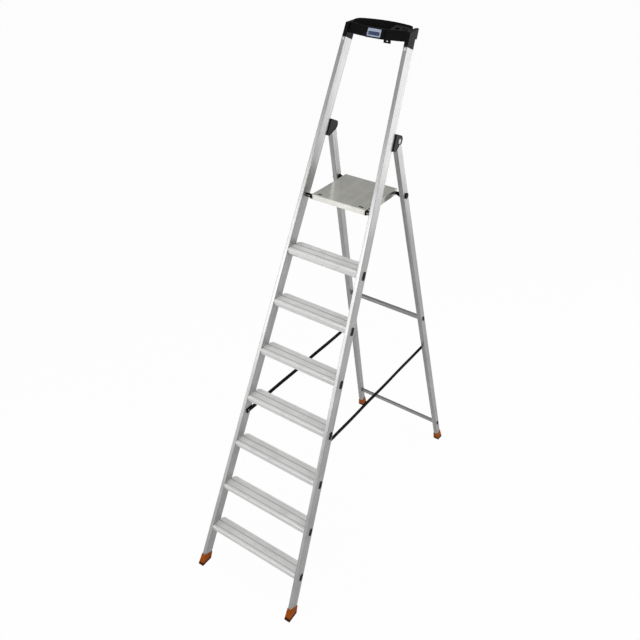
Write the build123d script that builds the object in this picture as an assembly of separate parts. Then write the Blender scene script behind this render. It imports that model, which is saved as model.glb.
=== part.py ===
from build123d import *
import os
from math import sin, cos, tan, radians, hypot

# Stepladder with a platform and a tool tray, in millimetres. X runs across, the climbing side faces -Y, Z is up.
# The origin is on the floor, in the middle of the four feet.

# Stance, in degrees
front_lean = 23.0           # front frame from upright
rear_lean = 16.0            # rear frame from upright
front_splay = 3.0           # front rail from the middle, in the front frame's own plane
rear_splay = 3.1            # rear leg from the middle, in the rear frame's own plane

# Front rails
base_half_width = 286.0     # middle to a rail's outer face at the floor
rail_width = 18.0
rail_depth = 54.0
rail_wall = 1.5
rail_corner = 2.0
rail_top = 2601.0           # from the floor along the front frame

# Treads
tread_count = 7
first_tread_height = 224.0
tread_pitch = 225.0
tread_depth = 80.0
tread_nose_step = 1.7       # nose in front of the rails' front faces
tread_plate = 2.8
tread_wall = 2.0
tread_nose_radius = 5.0
fascia_height = 24.0
fascia_return = 7.0
rear_lip_height = 10.0
groove_places = (18.0, 51.0)
groove_width = 4.0
groove_depth = 1.5
flute_pitch = 3.2           # fine flutes between the grooves
flute_width = 1.4
flute_depth = 0.4
flute_start = 9.0           # first flute behind the nose
flute_margin = 4.0          # plain strip beside a groove and at the rear edge
tread_corner_cut = 12.0
tube_long = 38.0            # oval tube under a tread, through the rails
tube_short = 18.0
tube_wall = 2.0
tube_back = 27.0            # tube's middle behind the nose
tube_drop = 25.0            # tube's middle below the top
web_width = 4.0
web_back = 32.0
web_height = 11.0
flare_lap = 3.0
flare_thickness = 1.2
plug_depth = 6.0
plug_clearance = 0.5
plug_lap = 1.2              # plug's cap past the tube
plug_cap = 1.8
plug_seat = 1.3             # underside of the cap, above the rail or leg
plug_edge = 1.0

# Rear frame
hinge_along = 2256.6        # hinge pin from the floor along the front frame
hinge_offset = 34.0         # hinge pin behind the rails' rear faces
leg_width = 22.0
leg_depth = 36.0
leg_wall = 1.5
leg_corner = 2.0
crossbar_heights = {"upper": 1031.0, "lower": 149.0}
crossbar_tall = 24.0
crossbar_deep = 12.0
crossbar_wall = 2.0
crossbar_back = 2.0         # bar's middle behind the legs' middle
crossbar_groove_width = 4.0
crossbar_groove_depth = 1.0

# Feet
foot_wall = 2.5
foot_height = 64.0          # along the rail
rear_foot_height = 55.0     # along the leg
foot_flare = 4.5            # wider on each side at the floor
foot_sole = 8.0
foot_corner = 3.0
foot_rim = 1.0              # rounded top edge
sole_groove_width = 3.0
sole_groove_depth = 1.5
sole_groove_pitch = 12.0

# Hinge
bracket_half_width = 15.5
bracket_cheek = 3.0
bracket_low = -46.0         # outline, from the pin along the rail
bracket_high = 23.0
bracket_rear = 26.0         # outline behind the pin
bracket_knee_low = -8.0
bracket_toe_back = 18.0     # length of the foot of the outline on the rail
bracket_edge = 1.2          # rounded edge round each cheek
bracket_rim = 4.5           # raised rim round the panel in each cheek
bracket_recess = 0.8
bracket_notch = ((30.0, -6.5), (9.4, -14.5), (-11.0, -47.6), (-11.0, -60.0), (30.0, -60.0))
leg_swing_clearance = 1.5
hinge_pin_radius = 5.0
hinge_head_radius = 10.5
hinge_head_thickness = 2.5
hinge_head_start = 15.4
hinge_pin_inner = 14.2      # pin's blind end in the inner cheek
hinge_bush_radius = 8.0
hinge_bush_half = 10.8
running_clearance = 0.05
bracket_rivet_places = (-34.0, -16.0)

# Rivets
rivet_radius = 2.4
rivet_head_radius = 4.5
rivet_head_thickness = 1.6
tray_rivet_along = 2588.0

# Platform
platform_half_width = 134.5
platform_front = 785.0      # from the rails' front faces at the floor
platform_rear = 1048.0
platform_top = 1797.0
platform_sheet = 2.0
front_lip = 24.0
side_lip = 26.0
rear_lip = 18.0
platform_bend = 1.9         # outside of a bend
lip_gap = 3.0               # open corner between two lips
deck_slot_length = 24.0
deck_slot_width = 9.0
deck_slot_inset = 17.0      # from the front edge
deck_slot_side = 104.0
pivot_height = 1779.0
platform_bolt_radius = 4.0
platform_bush_radius = 6.0
platform_bush_flange_radius = 7.2
platform_bush_flange = 1.5
bolt_cap_radius = 13.0
bolt_cap_thickness = 6.0
bolt_cap_hole = 3.0         # in the middle of the cap, where the bolt's end shows
bolt_cap_hole_depth = 2.5
spacer_large_radius = 15.0
spacer_small_radius = 6.0
bolt_head_radius = 6.5
bolt_head_thickness = 4.0
stud_place = (789.0, 1786.0)
stud_radius = 5.0
stud_end = 135.5
collar_radius = 9.0
collar_end = 143.5
collar_slot = 8.0           # open front of the collar, where the stud shows
collar_root = 6.0           # closed part at the rail
hook_thickness = 7.0
hook_front = -8.0           # hook's outline, from the stud
hook_rear = 6.0
hook_low = -11.0
hook_high = 8.7
hook_corner = 4.0
hook_clearance = 0.3
hook_tab_length = 48.0
hook_tab_low = 0.5
hook_tab_thickness = 2.6
hook_arm_height = 3.8       # arm through the deck's side lip, with a nub in the deck's slot
hook_arm_clearance = 0.3
hook_nub_drop = 0.4         # nub below the deck's top
hook_rivet_radius = 1.8
hook_rivet_head_radius = 3.0
hook_rivet_places = (22.0, 40.0)

# Straps
strap_height = 815.0
strap_front = 378.0         # front rivet, from the rails' front faces at the floor
strap_width = 25.0
strap_thickness = 2.0
strap_tail = 12.0           # past each rivet
strap_rivet_radius = 2.5
strap_hole_radius = 2.7
strap_head_radius = 4.5
strap_head_thickness = 2.5
strap_skin = 0.6            # from the metal to the strap's outer face
strap_rear_inset = 2.0      # rear rivet behind the middle of the leg

# Tool tray. Its walls lean with the front frame, and backs are from the rails' front faces at the floor.
tongue_low = 2570.0         # along the front frame
tongue_clearance = 0.2
cap_back_low = 2643.0       # along the front frame, where an end cap gets deeper
cap_back_from = 34.0
cap_back_to = 71.0
cap_back_corner = 8.0
cap_top = 2440.5            # level
cap_edge = 2.0
tray_low = 2405.0
tray_rim = 2448.0           # top of the rear wall
tray_rim_tilt = 6.0         # degrees, down towards the front
tray_half_width = 134.0
tray_front = 1030.0         # at the tray's bottom
tray_rear = 1078.0
tray_bow = 22.0             # how far the front wall bulges in the middle
tray_rear_bow = 18.0
tray_rear_corner = 30.0
tray_wall = 3.0
tray_edge = 1.0             # rounded edges of the rim
shelf_from = 50.0           # tool shelf on the right-hand side
shelf_drop = 6.0
tool_holes = ((74.0, 1064.0, 10.0), (98.0, 1072.0, 7.0), (114.0, 1067.0, 5.0))
pad_middle = 5.0            # flat panel for the label
pad_half_width = 41.0
pad_front = 1006.0
pad_thickness = 6.0
label_half_width = 30.0
label_height = 29.0
label_low = 5.0             # above the tray's bottom
label_thickness = 1.0
tray_hook_middle = 60.0
tray_hook_width = 30.0
tray_hook_drop = 12.0
tray_hook_thickness = 5.0
tray_hook_slot = (8.8, 5.4)

sides = {"left": -1, "right": 1}
far = 400.0                 # past the ladder's width

# Where the frames stand
front_sine = sin(radians(front_lean))
front_cosine = cos(radians(front_lean))
rear_sine = sin(radians(rear_lean))
rear_cosine = cos(radians(rear_lean))
fold_angle = front_lean + rear_lean
rail_base = base_half_width - rail_width / 2 / cos(radians(front_splay))
hinge_depth = rail_depth + hinge_offset
hinge_back = hinge_along * front_sine + hinge_depth * front_cosine
hinge_height = hinge_along * front_cosine - hinge_depth * front_sine
hinge_half = rail_base - hinge_along * tan(radians(front_splay))
front_edge = -foot_wall / front_cosine
rear_edge = hinge_back + hinge_height * rear_sine / rear_cosine + (leg_depth / 2 + foot_wall) / rear_cosine
floor_start = -(front_edge + rear_edge) / 2

front_frame = Plane(origin=(0, floor_start, 0), x_dir=(1, 0, 0), z_dir=(0, front_sine, front_cosine))
rear_frame = Plane(
    origin=(0, floor_start + hinge_back, hinge_height), x_dir=(1, 0, 0), z_dir=(0, -rear_sine, rear_cosine)
)


def along_front(back, height):
    """Distance along the front frame and depth behind its front of a point, given from the rails' foot."""
    return back * front_sine + height * front_cosine, back * front_cosine - height * front_sine


def rail_middle(along):
    return rail_base - along * tan(radians(front_splay))


def slanted(side, start, depth, splay):
    """Plane across a rail or leg that leans towards the middle, in its frame."""
    lean = side * sin(radians(splay))
    return Plane(
        origin=(side * start, depth, 0), x_dir=(cos(radians(splay)), 0, lean), z_dir=(-lean, 0, cos(radians(splay)))
    )


def rail_plane(side):
    return slanted(side, rail_base, rail_depth / 2, front_splay)


def leg_plane(side):
    return slanted(side, hinge_half, 0, rear_splay)


def length_on_face(along, width, splay):
    """How far up a rail's or leg's own axis a level line meets its outer face."""
    return (along - width / 2 * sin(radians(splay))) / cos(radians(splay))


def between(start, splay, low, high, offset):
    """Everything between two slanted faces that stand offset outside the rails' or legs' middles."""
    shift = offset / cos(radians(splay))
    wide = start - low * tan(radians(splay)) + shift
    narrow = start - high * tan(radians(splay)) + shift
    outline = Polygon((-wide, low), (wide, low), (narrow, high), (-narrow, high), align=None)
    return extrude(Plane.XZ * outline, amount=far, both=True)


def between_rails(offset):
    return front_frame * between(rail_base, front_splay, -100, rail_top + 200, offset)


def between_legs(offset):
    return rear_frame * between(hinge_half, rear_splay, -hinge_height * 1.2, 200, offset)


def across(profile, back, height):
    """A profile drawn with Y to the right and Z up, extruded all the way across the ladder."""
    plane = Plane(origin=(0, floor_start + back, height), x_dir=(0, 1, 0), z_dir=(1, 0, 0))
    return plane * extrude(profile, amount=far, both=True)


def rod(radius, low, high, back, height, top_radius=None):
    """A round bar along X from low to high, tapered where a second radius is given."""
    place = Plane(origin=(low, floor_start + back, height), x_dir=(0, 1, 0), z_dir=(1, 0, 0))
    align = (Align.CENTER, Align.CENTER, Align.MIN)
    if top_radius is None:
        return place * Cylinder(radius, high - low, align=align)
    return place * Cone(radius, top_radius, high - low, align=align)


def mirrored_rod(side, radius, low, high, back, height, top_radius=None):
    shape = rod(radius, low, high, back, height, top_radius)
    return shape if side > 0 else mirror(shape, about=Plane.YZ)


def below_floor(height):
    return Pos(0, 0, height) * Box(4 * far, 8 * far, 200, align=(Align.CENTER, Align.CENTER, Align.MAX))


def tube(width, depth, wall, corner, low, high):
    ring = RectangleRounded(width, depth, corner) - RectangleRounded(width - 2 * wall, depth - 2 * wall, corner - wall)
    return Pos(0, 0, low) * extrude(ring, amount=high - low)


def bar(width, depth, corner, low, high):
    return Pos(0, 0, low) * extrude(RectangleRounded(width, depth, corner), amount=high - low)


def dome(radius, thickness):
    """A rivet head with its flat on XY."""
    head = Cylinder(radius, thickness, align=(Align.CENTER, Align.CENTER, Align.MIN))
    rim = head.edges().group_by(Axis.Z)[-1]
    return fillet(rim, thickness * 0.7)


def save(shape, name):
    shape.label = name
    export_step(shape, f"parts/{name}.step")


def group(solids):
    return Compound(children=[piece for shape in solids for piece in shape.solids()])


# Treads

def tread_top(number):
    return first_tread_height + (number - 1) * tread_pitch


def tread_nose(number):
    return tread_top(number) * front_sine / front_cosine - tread_nose_step


def oval(inset):
    upright = 90 - front_lean
    return Pos(tube_back, -tube_drop) * SlotOverall(tube_long - 2 * inset, tube_short - 2 * inset, rotation=upright)


def flute_places():
    count = int((tread_depth - flute_margin - flute_start) / flute_pitch) + 1
    places = [flute_start + flute_pitch * step for step in range(count)]
    return [place for place in places if all(abs(place - groove) > flute_margin for groove in groove_places)]


def tread_section():
    outline = Polygon(
        (0, 0), (tread_depth, 0), (tread_depth, -rear_lip_height), (tread_depth - tread_wall, -rear_lip_height),
        (tread_depth - tread_wall, -tread_plate), (tread_wall, -tread_plate), (tread_wall, tread_wall - fascia_height),
        (fascia_return, tread_wall - fascia_height), (fascia_return, -fascia_height), (0, -fascia_height), align=None,
    )
    nose = outline.vertices().sort_by_distance((0, 0, 0))[0]
    outline = fillet(nose, tread_nose_radius)
    for place in groove_places:
        outline -= Pos(place, 0) * Rectangle(groove_width, 2 * groove_depth)
    for place in flute_places():
        outline -= Pos(place, 0) * Rectangle(flute_width, 2 * flute_depth)
    web = Pos(web_back, -tread_plate / 2) * Rectangle(web_width, web_height, align=(Align.CENTER, Align.MAX))
    return outline + web


def make_tread(number, inner_space, outer_space):
    back = tread_nose(number)
    height = tread_top(number)
    body = across(tread_section() + oval(0), back, height) & inner_space
    ends = across(oval(0), back, height) & outer_space
    rear_along, _ = along_front(back + tread_depth, height)
    half = rail_middle(rear_along) - rail_width / 2
    cut = tread_corner_cut
    rear = floor_start + back + tread_depth
    corner = Polygon((half - cut, rear + 1), (half + cut, rear + 1), (half + cut, rear - 2 * cut), align=None)
    blade = Pos(0, 0, height) * extrude(corner, amount=60, both=True)
    tread = body + ends - across(oval(tube_wall), back, height)
    return tread - blade - mirror(blade, about=Plane.YZ)


def tread_end_plane(number, side):
    """Plane on a rail's outer face, in the front frame, at the middle of a tread's tube."""
    along, depth = along_front(tread_nose(number) + tube_back, tread_top(number) - tube_drop)
    length = length_on_face(along, rail_width, front_splay)
    face = Plane(origin=(side * rail_width / 2, depth - rail_depth / 2, length), x_dir=(0, 0, 1), z_dir=(side, 0, 0))
    return front_frame, rail_plane(side), face


def on_end(planes, shape):
    frame, slant, face = planes
    return frame * (slant * (face * shape))


def make_tread_flare(number, side):
    outer = SlotOverall(tube_long + 2 * flare_lap, tube_short + 2 * flare_lap)
    inner = SlotOverall(tube_long - 2 * tube_wall, tube_short - 2 * tube_wall)
    return on_end(tread_end_plane(number, side), extrude(outer - inner, amount=flare_thickness))


def capped_plug(stem, cap):
    """A plug with its stem inside a tube and a cap with a rounded edge on top."""
    stem = Pos(0, 0, -plug_depth) * extrude(stem, amount=plug_depth + plug_seat)
    cap = Pos(0, 0, plug_seat) * extrude(cap, amount=plug_cap)
    return stem + fillet(cap.edges().group_by(Axis.Z)[-1], plug_edge)


def make_tread_plug(number, side):
    inset = 2 * (tube_wall + plug_clearance)
    stem = SlotOverall(tube_long - inset, tube_short - inset)
    cap = SlotOverall(tube_long + 2 * plug_lap, tube_short + 2 * plug_lap)
    return on_end(tread_end_plane(number, side), capped_plug(stem, cap))


# Rails and feet

def make_rail(side):
    rail = front_frame * (rail_plane(side) * tube(rail_width, rail_depth, rail_wall, rail_corner, 0, rail_top))
    cuts = [across(oval(0), tread_nose(n), tread_top(n)) for n in range(1, tread_count + 1)]
    cuts.append(below_floor(foot_sole))
    cuts.append(stud_shape(side))
    cuts.append(strap_front_shank(side))
    cuts.append(tray_rivet_shank(side))
    cuts.extend(bracket_rivet(side, place) for place in bracket_rivet_places)
    return rail - cuts


def make_foot(frame, slant, width, depth, corner, low, high):
    spread = foot_flare * (high - low) / foot_height
    top = RectangleRounded(width + 2 * foot_wall, depth + 2 * foot_wall, foot_corner)
    bottom = RectangleRounded(width + 2 * foot_wall + 2 * spread, depth + 2 * foot_wall, foot_corner)
    boot = loft([Pos(0, 0, low) * bottom, Pos(0, 0, high) * top], ruled=True)
    boot = frame * (slant * fillet(boot.edges().group_by(Axis.Z)[-1], foot_rim))
    post = frame * (slant * bar(width, depth, corner, low, high + 10)) - below_floor(foot_sole)
    boot = boot - post - below_floor(0)
    box = boot.bounding_box()
    middle = box.center()
    grooves = [
        Pos(middle.X, middle.Y + place * sole_groove_pitch, 0) * Box(far, sole_groove_width, 2 * sole_groove_depth)
        for place in (-1, 0, 1)
    ]
    return boot - grooves


def make_front_foot(side):
    return make_foot(front_frame, rail_plane(side), rail_width, rail_depth, rail_corner, -100, foot_height)


def make_rear_foot(side):
    floor_along = hinge_height / rear_cosine / cos(radians(rear_splay))
    low = -floor_along - 60
    high = -floor_along + rear_foot_height
    return make_foot(rear_frame, leg_plane(side), leg_width, leg_depth, leg_corner, low, high)


# Hinge brackets

def bracket_place():
    """Plane in a rail's own axes with its origin at the hinge pin: X back, Y up the rail, Z across."""
    length = hinge_along / cos(radians(front_splay))
    back = hinge_depth - rail_depth / 2
    return Plane(origin=(0, back, length), x_dir=(0, 1, 0), z_dir=(1, 0, 0))


def on_rail(side, shape):
    return front_frame * (rail_plane(side) * (bracket_place() * shape))


def bracket_outline():
    front = -hinge_offset
    corners = Polygon(
        (front, bracket_low), (front + bracket_toe_back, bracket_low), (bracket_rear, bracket_knee_low),
        (bracket_rear, bracket_high), (front, bracket_high), align=None,
    )
    points = corners.vertices()
    knee = points.sort_by_distance((bracket_rear, bracket_knee_low, 0))[0]
    crown = points.sort_by_distance((bracket_rear, bracket_high, 0))[0]
    toe = points.sort_by_distance((front + bracket_toe_back, bracket_low, 0))[0]
    corners = fillet(knee, 22)
    corners = fillet(corners.vertices().sort_by_distance(crown.center())[0], 18)
    return fillet(corners.vertices().sort_by_distance(toe.center())[0], 8)


def leg_sweep():
    """Room for the leg's top end between its open and folded positions, seen from the side."""
    reach = leg_depth / 2 + leg_swing_clearance
    turn = radians(fold_angle)
    edge = (reach * cos(turn), reach * sin(turn))
    run = 150
    swing = Polygon(
        (-reach, 0), (-reach, -run), (edge[0] + run * sin(turn), edge[1] - run * cos(turn)), edge, align=None
    )
    return Circle(reach) + swing + Pos(reach, 4) * Rectangle(2 * reach, 200, align=(Align.CENTER, Align.MAX))


def bracket_rivet(side, place):
    """Rivet through the bracket's back into the rail, with a flush head."""
    wall_front = -hinge_offset - 3 * rail_wall
    wall_back = -leg_depth / 2 - leg_swing_clearance
    shank = Cylinder(rivet_radius, wall_back - wall_front, align=(Align.CENTER, Align.CENTER, Align.MIN))
    head = Cylinder(rivet_head_radius, rivet_head_thickness, align=(Align.CENTER, Align.CENTER, Align.MAX))
    rivet = Plane(origin=(wall_front, place, 0), x_dir=(0, 1, 0), z_dir=(1, 0, 0)) * shank
    rivet += Plane(origin=(wall_back, place, 0), x_dir=(0, 1, 0), z_dir=(1, 0, 0)) * head
    return on_rail(side, rivet)


def hinge_rod(side, radius, low, high):
    return mirrored_rod(side, radius, hinge_half + low, hinge_half + high, hinge_back, hinge_height)


def bracket_block(side):
    """The bracket before it is hollowed: a recessed panel in each cheek, and the outer cheek cut back at the leg."""
    block = extrude(bracket_outline(), amount=bracket_half_width, both=True)
    outer_edges = block.edges().group_by(Axis.Z)[0] + block.edges().group_by(Axis.Z)[-1]
    block = fillet([edge for edge in outer_edges if edge.center().X > -hinge_offset + 0.1], bracket_edge)
    panel = extrude(offset(bracket_outline(), -bracket_rim), amount=bracket_recess, both=True)
    notch = extrude(Polygon(*bracket_notch, align=None), amount=side * far)
    block -= [Pos(0, 0, end * bracket_half_width) * panel for end in (-1, 1)]
    return block - Pos(0, 0, side * (bracket_half_width - bracket_cheek - 1)) * notch


def make_bracket(side):
    room = extrude(leg_sweep(), amount=bracket_half_width - bracket_cheek, both=True)
    bracket = on_rail(side, bracket_block(side) - room)
    holes = [bracket_rivet(side, place) for place in bracket_rivet_places]
    holes.append(hinge_rod(side, hinge_pin_radius, -hinge_pin_inner, far / 10))
    return bracket - holes


def make_hinge_pin(side):
    pin = hinge_rod(side, hinge_pin_radius, -hinge_pin_inner, hinge_head_start)
    head = hinge_rod(side, hinge_head_radius, hinge_head_start, hinge_head_start + hinge_head_thickness)
    rim = head.edges().group_by(Axis.X)[-1 if side > 0 else 0]
    return pin + fillet(rim, hinge_head_thickness * 0.6)


def make_hinge_bush(side):
    outer = hinge_rod(side, hinge_bush_radius, -hinge_bush_half, hinge_bush_half)
    return outer - hinge_rod(side, hinge_pin_radius + running_clearance, -far / 10, far / 10)


# Rear legs and crossbars

def crossbar_along(height):
    return -(hinge_height - height) / rear_cosine


def crossbar_block(height, shrink):
    """A bar's section, drawn out across the rear frame."""
    tall = crossbar_tall - 2 * shrink
    deep = crossbar_deep - 2 * shrink
    return rear_frame * (Pos(0, crossbar_back, crossbar_along(height)) * Box(2 * far, deep, tall))


def make_crossbar(height, outer_space):
    bar_front = crossbar_back - crossbar_deep / 2
    groove = Pos(0, bar_front, crossbar_along(height)) * Box(
        2 * far, 2 * crossbar_groove_depth, crossbar_groove_width
    )
    whole = crossbar_block(height, 0) - crossbar_block(height, crossbar_wall) - rear_frame * groove
    return whole & outer_space


def crossbar_end_plane(height, side):
    length = length_on_face(crossbar_along(height), leg_width, rear_splay)
    face = Plane(origin=(side * leg_width / 2, crossbar_back, length), x_dir=(0, 0, 1), z_dir=(side, 0, 0))
    return rear_frame, leg_plane(side), face


def make_crossbar_flare(height, side):
    lap = 2 * flare_lap
    inner = Rectangle(crossbar_tall - 2 * crossbar_wall, crossbar_deep - 2 * crossbar_wall)
    ring = RectangleRounded(crossbar_tall + lap, crossbar_deep + lap, flare_lap) - inner
    return on_end(crossbar_end_plane(height, side), extrude(ring, amount=flare_thickness))


def make_crossbar_plug(height, side):
    inset = 2 * (crossbar_wall + plug_clearance)
    lap = 2 * plug_lap
    stem = Rectangle(crossbar_tall - inset, crossbar_deep - inset)
    cap = RectangleRounded(crossbar_tall + lap, crossbar_deep + lap, flare_lap)
    return on_end(crossbar_end_plane(height, side), capped_plug(stem, cap))


def make_leg(side):
    length = hinge_height * 1.1
    blank = tube(leg_width, leg_depth, leg_wall, leg_corner, -length, leg_depth / 2)
    round_top = Plane.YZ * Circle(leg_depth / 2)
    straight = Pos(0, 0, -length) * Box(
        2 * leg_width, leg_depth, length, align=(Align.CENTER, Align.CENTER, Align.MIN)
    )
    blank = blank & (straight + extrude(round_top, amount=leg_width, both=True))
    leg = rear_frame * (leg_plane(side) * blank)
    cuts = [crossbar_block(height, 0) for height in crossbar_heights.values()]
    cuts.append(below_floor(foot_sole))
    cuts.append(hinge_rod(side, hinge_bush_radius, -far / 10, far / 10))
    cuts.append(mirrored_rod(side, platform_bolt_radius, 100, 250, pivot_back, pivot_height))
    cuts.append(strap_rear_shank(side))
    return leg - cuts


# Platform

pivot_back = hinge_back + (hinge_height - pivot_height) * rear_sine / rear_cosine
pivot_half = hinge_half + (hinge_height - pivot_height) / rear_cosine * tan(radians(rear_splay))
leg_skin = leg_width / 2 / cos(radians(rear_splay))
platform_fold = 90 - rear_lean
fold_ratio = platform_fold / fold_angle


def make_deck():
    depth = platform_rear - platform_front
    middle = floor_start + (platform_front + platform_rear) / 2
    width = 2 * platform_half_width
    low = (Align.CENTER, Align.CENTER, Align.MAX)
    deck = Pos(0, middle, platform_top) * Box(width, depth, platform_sheet, align=low)
    lip_run = width - 2 * (platform_sheet + lip_gap)
    front = floor_start + platform_front
    rear = floor_start + platform_rear
    deck += Pos(0, front + platform_sheet / 2, platform_top) * Box(lip_run, platform_sheet, front_lip, align=low)
    deck += Pos(0, rear - platform_sheet / 2, platform_top) * Box(lip_run, platform_sheet, rear_lip, align=low)
    for side in sides.values():
        place = side * (platform_half_width - platform_sheet / 2)
        deck += Pos(place, middle, platform_top) * Box(platform_sheet, depth, side_lip, align=low)
    deck = fillet(deck.edges().group_by(Axis.Z)[-1], platform_bend)
    for side in sides.values():
        slot = SlotOverall(deck_slot_length, deck_slot_width)
        cut = extrude(slot, amount=10, both=True)
        deck -= Pos(side * deck_slot_side, front + deck_slot_inset, platform_top) * cut
        deck -= arm_block(side, deck_slot_width, hook_arm_height + 2 * hook_arm_clearance, platform_half_width + 5)
        deck -= mirrored_rod(side, platform_bush_radius, 120, 150, pivot_back, pivot_height)
        deck -= [hook_rivet_shank(side, place) for place in hook_rivet_places]
    return deck


def make_platform_bush(side):
    inner = platform_half_width - platform_sheet
    bush = mirrored_rod(side, platform_bush_radius, inner, platform_half_width, pivot_back, pivot_height)
    flange_from = inner - platform_bush_flange
    bush += mirrored_rod(side, platform_bush_flange_radius, flange_from, inner, pivot_back, pivot_height)
    bore = platform_bolt_radius + running_clearance
    return bush - mirrored_rod(side, bore, 100, 200, pivot_back, pivot_height)


def make_platform_bolt(side):
    head_end = platform_half_width - platform_sheet - platform_bush_flange - 0.5
    head_start = head_end - bolt_head_thickness
    cap_start = pivot_half + leg_skin
    end = cap_start + bolt_cap_thickness - bolt_cap_hole_depth
    bolt = mirrored_rod(side, platform_bolt_radius, head_end, end, pivot_back, pivot_height)
    return bolt + mirrored_rod(side, bolt_head_radius, head_start, head_end, pivot_back, pivot_height)


def make_bolt_cap(side, outer_space):
    start = pivot_half + leg_skin
    end = start + bolt_cap_thickness
    cap = mirrored_rod(side, bolt_cap_radius, start - 3, end, pivot_back, pivot_height)
    rim = cap.edges().group_by(Axis.X)[-1 if side > 0 else 0]
    cap = fillet(rim, 2.5) - outer_space
    cap -= mirrored_rod(side, bolt_cap_hole, start, end + 1, pivot_back, pivot_height)
    return cap - make_platform_bolt(side)


def make_spacer(side, inner_space):
    start = platform_half_width + 0.5
    end = pivot_half - leg_skin + 3
    spacer = mirrored_rod(side, spacer_small_radius, start, end, pivot_back, pivot_height, spacer_large_radius)
    return (spacer & inner_space) - make_platform_bolt(side)


def stud_shape(side):
    along, _ = along_front(*stud_place)
    root = rail_middle(along) - rail_width / 2 + 4 * rail_wall
    return mirrored_rod(side, stud_radius, stud_end, root, *stud_place)


def make_collar(side, inner_space):
    along, _ = along_front(*stud_place)
    root = rail_middle(along)
    collar = mirrored_rod(side, collar_radius, collar_end, root, *stud_place)
    start = rail_middle(along) - rail_width / 2 - collar_root
    slot = Pos(side * start, floor_start + stud_place[0], stud_place[1]) * Box(
        2 * (start - collar_end), 2 * collar_radius, collar_slot, align=(Align.CENTER, Align.MAX, Align.CENTER)
    )
    return (collar & inner_space) - stud_shape(side) - slot


def hook_exit():
    """Direction in which a stud leaves its hook as the ladder starts to fold, as parts of back and up."""
    from_hinge = (stud_place[0] - hinge_back, stud_place[1] - hinge_height)
    from_pivot = (stud_place[0] - pivot_back, stud_place[1] - pivot_height)
    back = from_hinge[1] + fold_ratio * from_pivot[1]
    up = -from_hinge[0] - fold_ratio * from_pivot[0]
    size = hypot(back, up)
    return -back / size, -up / size


def hook_rivet_place(place):
    return stud_place[0] + place, stud_place[1] + (hook_tab_low + hook_high) / 2


def hook_rivet_shank(side, place):
    inner = platform_half_width - platform_sheet - 1
    outer = platform_half_width + hook_tab_thickness
    return mirrored_rod(side, hook_rivet_radius, inner, outer, *hook_rivet_place(place))


def make_hook_rivet(side, place):
    end = platform_half_width + hook_tab_thickness
    inner = platform_half_width - platform_sheet
    rivet = hook_rivet_shank(side, place)
    rivet += mirrored_rod(side, hook_rivet_head_radius, end - rivet_head_thickness, end, *hook_rivet_place(place))
    return rivet + mirrored_rod(side, hook_rivet_head_radius, inner - 1, inner, *hook_rivet_place(place))


def arm_block(side, width, height, outer):
    """Bar across under the deck's sheet, in line with a slot, from the slot's inner end to outer."""
    inner = deck_slot_side - deck_slot_length / 2 + hook_arm_clearance
    top = stud_place[1] + hook_high + (height - hook_arm_height) / 2
    place = Pos(side * (inner + outer) / 2, floor_start + platform_front + deck_slot_inset, top)
    return place * Box(outer - inner, width, height, align=(Align.CENTER, Align.CENTER, Align.MAX))


def make_hook_arm(side):
    trim = 2 * hook_arm_clearance
    start = stud_place[1] + hook_high
    slot = SlotOverall(deck_slot_length - trim, deck_slot_width - trim)
    nub = extrude(slot, amount=platform_top - hook_nub_drop - start)
    arm = arm_block(side, deck_slot_width - trim, hook_arm_height, platform_half_width)
    return arm + Pos(side * deck_slot_side, floor_start + platform_front + deck_slot_inset, start) * nub


def make_hook(side):
    exit_back, exit_up = hook_exit()
    hole = stud_radius + hook_clearance
    corner = (Align.MIN, Align.MIN)
    jaw = Pos(hook_front, hook_low) * RectangleRounded(
        hook_rear - hook_front, hook_high - hook_low, hook_corner, align=corner
    )
    tab = Pos(0, hook_tab_low) * Rectangle(hook_tab_length, hook_high - hook_tab_low, align=corner)
    reach = 30
    flare = 1.5 * hole
    mouth = Polygon(
        (-hole * exit_up, hole * exit_back), (hole * exit_up, -hole * exit_back),
        (reach * exit_back + flare * exit_up, reach * exit_up - flare * exit_back),
        (reach * exit_back - flare * exit_up, reach * exit_up + flare * exit_back), align=None,
    )
    plane = Plane(
        origin=(platform_half_width, floor_start + stud_place[0], stud_place[1]), x_dir=(0, 1, 0), z_dir=(1, 0, 0)
    )
    hook = extrude(jaw, amount=hook_thickness) + extrude(tab, amount=hook_tab_thickness)
    hook = plane * (hook - extrude(Circle(hole) + mouth, amount=hook_thickness))
    hook = hook if side > 0 else mirror(hook, about=Plane.YZ)
    hook += make_hook_arm(side)
    return hook - [make_hook_rivet(side, place) for place in hook_rivet_places]


# Straps

strap_rear = hinge_back + (hinge_height - strap_height) * rear_sine / rear_cosine + strap_rear_inset


def strap_face(front):
    """Half the distance between the straps' outer faces at the front or rear rivets."""
    top = strap_height + strap_width / 2
    if front:
        along, _ = along_front(strap_front, top)
        return rail_middle(along) - rail_width / 2 - strap_skin
    along = (hinge_height - top) / rear_cosine
    return hinge_half + along * tan(radians(rear_splay)) - leg_skin - strap_skin


def strap_front_shank(side):
    face = strap_face(True)
    return mirrored_rod(side, strap_rivet_radius, face - strap_thickness - 0.2, face + 6, strap_front, strap_height)


def strap_rear_shank(side):
    face = strap_face(False)
    return mirrored_rod(side, strap_rivet_radius, face - strap_thickness - 0.2, face + 6, strap_rear, strap_height)


def strap_rivet(side, front):
    face = strap_face(front) - strap_thickness - 0.2
    back = strap_front if front else strap_rear
    head = Plane(origin=(face, floor_start + back, strap_height), x_dir=(0, 1, 0), z_dir=(-1, 0, 0)) * dome(
        strap_head_radius, strap_head_thickness
    )
    head = head if side > 0 else mirror(head, about=Plane.YZ)
    return head + (strap_front_shank(side) if front else strap_rear_shank(side))


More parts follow.
